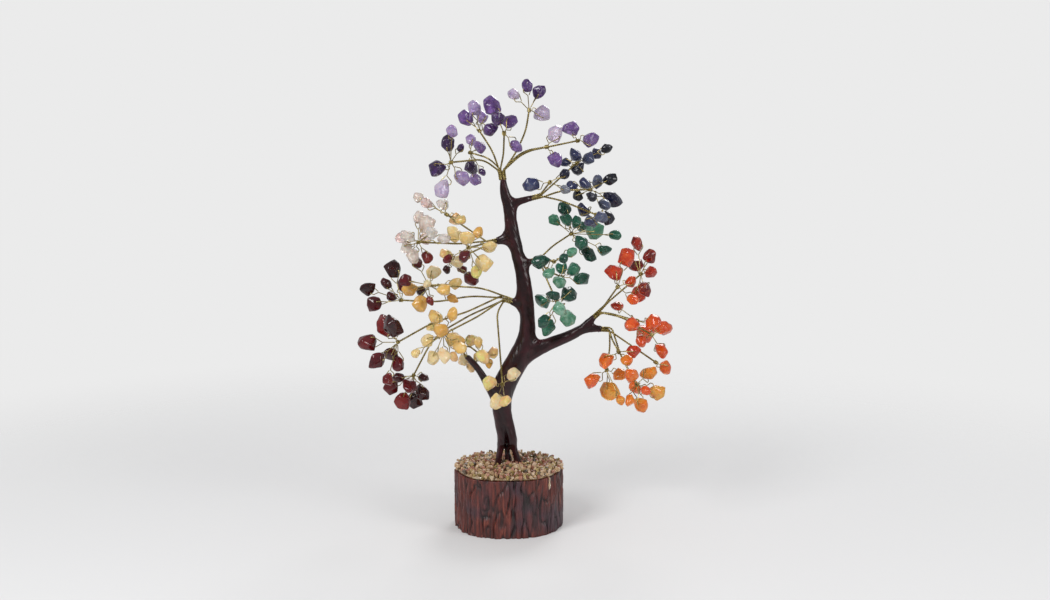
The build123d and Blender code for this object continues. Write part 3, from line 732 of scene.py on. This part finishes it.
tree, given, result = new_growth("twisted_stems", {
    "Strand": strand_radius, "Offset": strand_offset, "Pitch": twist_pitch, "Spacing": ring_spacing,
    "Turns": coil_turns, "Coil": coil_radius, "Coil length": coil_length})
lines = add(tree, "GeometryNodeMeshToCurve", {"Mesh": given.outputs["Geometry"]})
even = add(tree, "GeometryNodeResampleCurve", {
    "Curve": lines.outputs[0], "Length": given.outputs["Spacing"]}, mode="LENGTH")
run = add(tree, "GeometryNodeSplineParameter")
turns = add(tree, "ShaderNodeMath", {0: run.outputs["Length"], 1: given.outputs["Pitch"]}, operation="DIVIDE")
tilt = add(tree, "ShaderNodeMath", {0: turns.outputs[0], 1: 2 * math.pi}, operation="MULTIPLY")
twisted = add(tree, "GeometryNodeSetCurveTilt", {"Curve": even.outputs[0], "Tilt": tilt.outputs[0]})
section = add(tree, "GeometryNodeCurvePrimitiveCircle", {"Resolution": 7, "Radius": given.outputs["Strand"]})
aside = add(tree, "ShaderNodeCombineXYZ", {"X": given.outputs["Offset"]})
moved = add(tree, "GeometryNodeTransform", {"Geometry": section.outputs[0], "Translation": aside.outputs[0]})
sections = add(tree, "GeometryNodeJoinGeometry")
for wire in range(stem_wires):
    placed = add(tree, "GeometryNodeTransform", {
        "Geometry": moved.outputs[0], "Rotation": (0, 0, 2 * math.pi * wire / stem_wires)})
    tree.links.new(placed.outputs[0], sections.inputs[0])
stem_tube = add(tree, "GeometryNodeCurveToMesh", {
    "Curve": twisted.outputs[0], "Profile Curve": sections.outputs[0], "Fill Caps": True})
hub = add(tree, "GeometryNodeInputNamedAttribute", {"Name": "hub"}, data_type="FLOAT")
at_hub = add(tree, "FunctionNodeCompare", {
    0: hub.outputs[0], 1: 0.5}, data_type="FLOAT", operation="GREATER_THAN")
tangent = add(tree, "GeometryNodeInputTangent")
along_stem = add(tree, "FunctionNodeAlignRotationToVector", {"Vector": tangent.outputs[0]}, axis="Z")
spiral = add(tree, "GeometryNodeCurveSpiral", {
    "Resolution": 14, "Rotations": given.outputs["Turns"], "Start Radius": given.outputs["Coil"],
    "End Radius": given.outputs["Coil"], "Height": given.outputs["Coil length"]})
coil_section = add(tree, "GeometryNodeCurvePrimitiveCircle", {
    "Resolution": 6, "Radius": given.outputs["Strand"]})
coil = add(tree, "GeometryNodeCurveToMesh", {
    "Curve": spiral.outputs[0], "Profile Curve": coil_section.outputs[0], "Fill Caps": True})
half = add(tree, "ShaderNodeMath", {0: given.outputs["Coil length"], 1: -0.5}, operation="MULTIPLY")
down = add(tree, "ShaderNodeCombineXYZ", {"Z": half.outputs[0]})
centred = add(tree, "GeometryNodeTransform", {"Geometry": coil.outputs[0], "Translation": down.outputs[0]})
coils = add(tree, "GeometryNodeInstanceOnPoints", {
    "Points": lines.outputs[0], "Selection": at_hub.outputs[0], "Instance": centred.outputs[0],
    "Rotation": along_stem.outputs[0]})
all_wire = add(tree, "GeometryNodeJoinGeometry")
tree.links.new(coils.outputs[0], all_wire.inputs[0])
tree.links.new(stem_tube.outputs[0], all_wire.inputs[0])
real = add(tree, "GeometryNodeRealizeInstances", {"Geometry": all_wire.outputs[0]})
smooth = add(tree, "GeometryNodeSetShadeSmooth", {"Geometry": real.outputs[0]})
dressed = add(tree, "GeometryNodeSetMaterial", {
    "Geometry": smooth.outputs[0], "Material": given.outputs["Finish"]})
tree.links.new(dressed.outputs[0], result.inputs[0])
stem_tree = tree

joints = {joint["child"]: joint for joint in frame["joints"]}
sprays = [body for body in frame["bodies"] if body != "tree"]
for body in sprays:
    node = body.replace("_spray", "_stems")
    points = []
    edges = []
    hubs = []
    for places, facing in loose_solids(frame["nodes"][node].data):
        ball = places - facing * knot_radius
        cells, cell_of, votes = np.unique(
            np.round(ball / vote_cell).astype(np.int64), axis=0, return_inverse=True, return_counts=True)
        knot = ball[cell_of.reshape(-1) == votes.argmax()].mean(axis=0)
        on_stem = np.linalg.norm(places - knot, axis=1) > past_knot * knot_radius
        line = wire_line(places[on_stem], facing[on_stem], stem_radius, joints[body]["pos_m"])
        leaving = (line[0] - line[1]) / np.linalg.norm(line[0] - line[1])
        line = np.vstack([line[0] + leaving * set_in_tip, line, knot])
        first = len(points)
        points += list(line)
        edges += [(k, k + 1) for k in range(first, len(points) - 1)]
        hubs += [0] * (len(line) - 1) + [1]
    route = bpy.data.meshes.new(node + "_lines")
    route.from_pydata([tuple(point) for point in points], edges, [])
    store(route, "hub", hubs)
    mesh = grown_mesh(node + "_twisted", stem_tree, route, {"Finish": wire_finish})
    piece = new_piece(node + "_twisted", mesh, body)
    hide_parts(node)

# The twigs: thin wire of the same kind, one for each stone, threaded through the stone and bent back.
# The solids have their true shape, so they stay, and take the wire's finish.
for body in sprays:
    twigs = frame["nodes"][body.replace("_spray", "_twigs")]
    twigs.data.materials.clear()
    twigs.data.materials.append(wire_finish)

# The stones: drilled chips of semi-precious stone, tumbled until their edges are round and their faces
# shine. Each takes its shape from its solid and its tint by chance, so no two are alike.
stone_voxel = 0.42 * MM
hull_grid = 0.01
stone_wear = 18
dent_width = 3.2 * MM
dent_depth = 0.28 * MM
polish_swell = 0.42 * MM
glow_depth = 2.5 * MM
stone_cloud = 5.5 * MM
vein_width = 3.2 * MM
pit_width = 0.9 * MM
pit_depth = 0.15 * MM
orange_level = 80 * MM
red_level = 175 * MM
redness_by_height = 0.75
redness_by_chance = 0.45
redness_start = -0.1
stone_seed = 7
stones = {
    "amethyst": {
        "stops": [(0.0, "#2a1438"), (0.25, "#4e2d6a"), (0.5, "#7d5a9e"), (0.75, "#a98fc4"),
                  (1.0, "#d6c6dc")],
        "vein": "#e6dcea", "vein_share": 0.45, "clear": 0.3, "dark": "#2a1236"},
    "sodalite": {
        "stops": [(0.0, "#0b0a14"), (0.35, "#181a38"), (0.65, "#2a3058"), (0.88, "#50566e"),
                  (1.0, "#84868e")],
        "vein": "#8e8f98", "vein_share": 0.3, "clear": 0.05, "dark": "#14110f"},
    "aventurine": {
        "stops": [(0.0, "#10342a"), (0.35, "#1c5645"), (0.65, "#2c7359"), (0.88, "#549474"),
                  (1.0, "#92bfa6")],
        "vein": "#8fbf9e", "vein_share": 0.3, "clear": 0.22, "dark": "#12342a"},
    "carnelian": {
        "stops": [(0.0, "#f2b64e"), (0.18, "#f58a2c"), (0.42, "#ef5e1c"), (0.66, "#c8371c"),
                  (0.86, "#971f18"), (1.0, "#5c0e12")],
        "vein": "#ffb878", "vein_share": 0.35, "clear": 0.3, "dark": "#7a1410"},
    "quartz": {
        "stops": [(0.0, "#e2cfc4"), (0.3, "#efe4da"), (0.7, "#f3eeea"), (1.0, "#eccfca")],
        "vein": "#ffffff", "vein_share": 0.5, "clear": 0.55, "dark": "#d8c4b4"},
    "citrine": {
        "stops": [(0.0, "#e6ae50"), (0.2, "#f3c870"), (0.42, "#f7da94"), (0.62, "#f9e8bc"), (0.82, "#f7c384"),
                  (1.0, "#ece88a")],
        "vein": "#fff6e2", "vein_share": 0.45, "clear": 0.25, "dark": "#d6aa68"},
    "garnet": {
        "stops": [(0.0, "#240508"), (0.4, "#43080f"), (0.75, "#640b14"), (1.0, "#7e1c1a")],
        "vein": "#9c3630", "vein_share": 0.2, "clear": 0.12, "dark": "#1c0507"},
}
stone_finishes = {}
for stone, look in stones.items():
    # Tumbled stone: clouded and veined within, lit a little from inside, with a hard bright polish on top.
    finish, tree, shader = new_finish("tumbled_" + stone, {
        "Roughness": 0.16, "IOR": 1.54, "Specular IOR Level": 0.4, "Transmission Weight": look["clear"],
        "Subsurface Weight": 0.12, "Subsurface Scale": glow_depth, "Coat Weight": 0.18,
        "Coat Roughness": 0.06})
    coords = add(tree, "ShaderNodeTexCoord")
    tint = add(tree, "ShaderNodeAttribute", attribute_name="tint")
    cloud = add(tree, "ShaderNodeTexNoise", {
        "Vector": coords.outputs["Object"], "Scale": 1 / stone_cloud, "Detail": 4, "Distortion": 0.6})
    spread = add(tree, "ShaderNodeMapRange", {
        "Value": cloud.outputs["Fac"], "From Min": 0.3, "From Max": 0.7, "To Min": -0.14, "To Max": 0.14})
    shade = add(tree, "ShaderNodeMath", {
        0: tint.outputs["Fac"], 1: spread.outputs[0]}, operation="ADD", use_clamp=True)
    within = add(tree, "ShaderNodeValToRGB", {"Fac": shade.outputs[0]}, stops=look["stops"])
    band = add(tree, "ShaderNodeTexNoise", {
        "Vector": coords.outputs["Object"], "Scale": 1 / vein_width, "Detail": 3, "Distortion": 1.4})
    vein = add(tree, "ShaderNodeMapRange", {
        "Value": band.outputs["Fac"], "From Min": 0.56, "From Max": 0.72, "To Max": look["vein_share"]})
    veined = add(tree, "ShaderNodeMix", {
        0: vein.outputs[0], 6: within.outputs[0], 7: linear(look["vein"])}, data_type="RGBA")
    flaw = add(tree, "ShaderNodeMapRange", {
        "Value": band.outputs["Fac"], "From Min": 0.42, "From Max": 0.28, "To Max": 0.5})
    flawed = add(tree, "ShaderNodeMix", {
        0: flaw.outputs[0], 6: veined.outputs[2], 7: linear(look["dark"])}, data_type="RGBA")
    tree.links.new(flawed.outputs[2], shader.inputs["Base Color"])
    pits = add(tree, "ShaderNodeTexNoise", {
        "Vector": coords.outputs["Object"], "Scale": 1 / pit_width, "Detail": 2})
    bump = add(tree, "ShaderNodeBump", {
        "Height": pits.outputs["Fac"], "Strength": 0.16, "Distance": pit_depth})
    tree.links.new(bump.outputs[0], shader.inputs["Normal"])
    stone_finishes[stone] = finish

chance = np.random.default_rng(stone_seed)
chip_nodes = sorted(node for node in frame["nodes"] if node.endswith("_chips"))
for node in chip_nodes:
    stone = node.split("_")[-2]
    body = frame["nodes"][node]["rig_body"]
    rough_stones = bmesh.new()
    solids = loose_solids(frame["nodes"][node].data)
    for places, _ in solids:
        hull = bmesh.new()
        for place in np.unique(np.round(places / (hull_grid * MM)), axis=0):
            hull.verts.new(place * hull_grid * MM)
        bmesh.ops.convex_hull(hull, input=hull.verts)
        bmesh.ops.delete(hull, geom=[vert for vert in hull.verts if not vert.link_faces], context="VERTS")
        part = bpy.data.meshes.new("rough")
        hull.to_mesh(part)
        hull.free()
        rough_stones.from_mesh(part)
        bpy.data.meshes.remove(part)
    mesh = bpy.data.meshes.new(node)
    rough_stones.to_mesh(mesh)
    rough_stones.free()
    tumbled = recut(node + "_rough", mesh, stone_voxel, stone_wear)
    points = np.empty(len(tumbled.vertices) * 3, np.float32)
    tumbled.vertices.foreach_get("co", points)
    points = points.reshape(-1, 3)
    outward = np.empty(len(tumbled.vertices) * 3, np.float32)
    tumbled.vertices.foreach_get("normal", outward)
    outward = outward.reshape(-1, 3)
    dents = np.array([noise.noise(Vector(point) / dent_width) for point in points])
    points = points + outward * (dent_depth * dents + polish_swell)[:, None]
    middles = np.array([(places.min(axis=0) + places.max(axis=0)) / 2 for places, _ in solids])
    belongs = np.array([np.linalg.norm(middles - point, axis=1).argmin() for point in points])
    tints = chance.random(len(solids))
    if stone == "carnelian":
        height = np.interp(middles[:, 2], [orange_level, red_level], [0.0, 1.0])
        tints = np.clip(redness_by_height * height + redness_by_chance * tints + redness_start, 0, 1)
    faces = [tuple(face.vertices) for face in tumbled.polygons]
    chip_mesh = smooth_mesh(node + "_tumbled", points, faces, stone_finishes[stone])
    store(chip_mesh, "tint", tints[belongs])
    piece = new_piece(node + "_tumbled", chip_mesh, body)
    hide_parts(node)

# The set: a plain pale floor that fades into the backdrop, soft light from all round, a large lamp at the
# upper left, two smaller ones at the right and behind, and the camera where the photograph was taken from.
pale = "#ebebeb"
floor_reach = 0.75
fade_start = 0.16
soft_strength = 0.46
lit_middle = Vector((0, 0, 0.14))
frame_width = 0.651
view_distance = 0.78
view_tilt = math.radians(7.0)
frame_middle = Vector((0.0102, 0, 0.1426))

floor_finish, tree, shader = new_finish("matt_paper_floor", {"Base Color": linear(pale), "Roughness": 0.8})
coords = add(tree, "ShaderNodeTexCoord")
far = add(tree, "ShaderNodeVectorMath", {0: coords.outputs["Object"]}, operation="LENGTH")
fade = add(tree, "ShaderNodeMapRange", {
    "Value": far.outputs["Value"], "From Min": fade_start, "From Max": floor_reach * 0.9,
}, interpolation_type="SMOOTHSTEP")
clear = add(tree, "ShaderNodeBsdfTransparent")
blended = add(tree, "ShaderNodeMixShader", {0: fade.outputs[0], 1: shader.outputs[0], 2: clear.outputs[0]})
tree.links.new(blended.outputs[0], tree.nodes["Material Output"].inputs["Surface"])
floor_mesh = bpy.data.meshes.new("floor")
disc = bmesh.new()
bmesh.ops.create_circle(disc, cap_ends=True, segments=96, radius=floor_reach)
disc.to_mesh(floor_mesh)
disc.free()
floor_mesh.materials.append(floor_finish)
floor = bpy.data.objects.new("floor", floor_mesh)
bpy.context.scene.collection.objects.link(floor)

world = bpy.data.worlds.new("studio")
world.use_nodes = True
tree = world.node_tree
seen = add(tree, "ShaderNodeLightPath")
direct = add(tree, "ShaderNodeMath", {
    0: seen.outputs["Is Camera Ray"], 1: seen.outputs["Is Transmission Ray"]}, operation="MAXIMUM")
backdrop = add(tree, "ShaderNodeBackground", {"Color": linear(pale), "Strength": 1.0})
softlight = add(tree, "ShaderNodeBackground", {"Color": linear("#f6f6f8"), "Strength": soft_strength})
shown = add(tree, "ShaderNodeMixShader", {
    0: direct.outputs[0], 1: softlight.outputs[0], 2: backdrop.outputs[0]})
tree.links.new(shown.outputs[0], tree.nodes["World Output"].inputs["Surface"])
bpy.context.scene.world = world

lamps = {
    "key": ((-0.55, -0.75, 0.75), 0.5, 6.8),
    "fill": ((0.75, -0.55, 0.45), 0.45, 2.6),
    "rim": ((0.25, 0.8, 0.7), 0.5, 2.8),
}
for name, (place, size, power) in lamps.items():
    lamp = bpy.data.lights.new(name, "AREA")
    lamp.shape = "DISK"
    lamp.size = size
    lamp.energy = power
    stand = bpy.data.objects.new(name, lamp)
    stand.location = place
    stand.rotation_euler = (lit_middle - Vector(place)).to_track_quat("-Z", "Y").to_euler()
    bpy.context.scene.collection.objects.link(stand)

camera = bpy.data.cameras.new("camera")
camera.sensor_width = 36
camera.lens = camera.sensor_width * view_distance / frame_width
camera.clip_start = 0.01
tripod = bpy.data.objects.new("camera", camera)
back = Vector((0, -math.cos(view_tilt), math.sin(view_tilt)))
tripod.location = frame_middle + back * view_distance
tripod.rotation_euler = (-back).to_track_quat("-Z", "Y").to_euler()
bpy.context.scene.collection.objects.link(tripod)
bpy.context.scene.camera = tripod
bpy.context.scene.view_settings.view_transform = "Standard"
